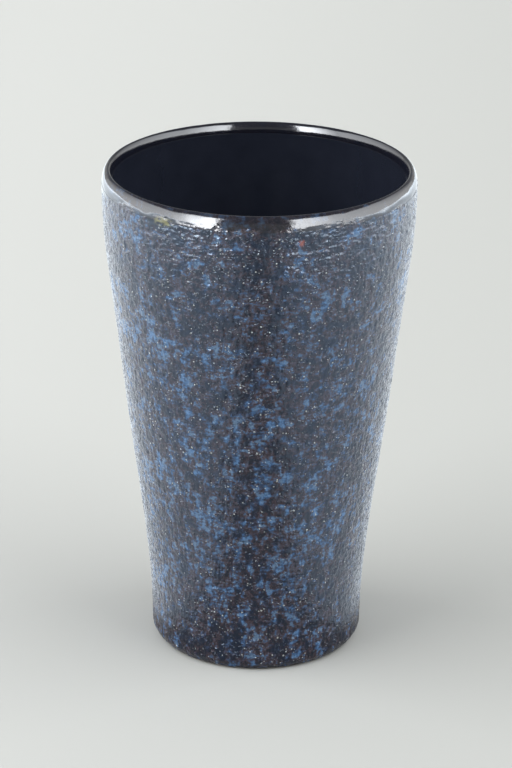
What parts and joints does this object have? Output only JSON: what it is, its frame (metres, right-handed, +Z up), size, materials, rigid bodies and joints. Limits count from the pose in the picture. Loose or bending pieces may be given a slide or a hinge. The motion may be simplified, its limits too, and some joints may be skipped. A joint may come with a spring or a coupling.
{
  "type": "stoneware pottery vase",
  "caption": "Tall tapered stoneware vase, open at the top, with a mottled blue and brown textured glaze, a smooth dark lip and a glossy dark inside.",
  "frame": {"origin": "centre of the foot ring, on the surface that the vase stands on", "axes": "+Z up along the vase's axis, from the foot to the mouth. The vase is the same all round, so X and Y are any two directions across it"},
  "size_m": [0.1678, 0.1678, 0.27],
  "materials": {
    "bare_stoneware": "unglazed fired stoneware with coarse grog, matt",
    "textured_glaze": "thick glossy glaze over coarse grog, mottled blue on dark brown",
    "rim_glaze": "smooth glossy near-black glaze",
    "liner_glaze": "smooth glossy near-black navy glaze"
  },
  "bodies": {
    "root": {"stoneware_body": "bare_stoneware", "outer_glaze": "textured_glaze", "rim_glaze": "rim_glaze", "liner_glaze": "liner_glaze"}
  },
  "joints": []
}
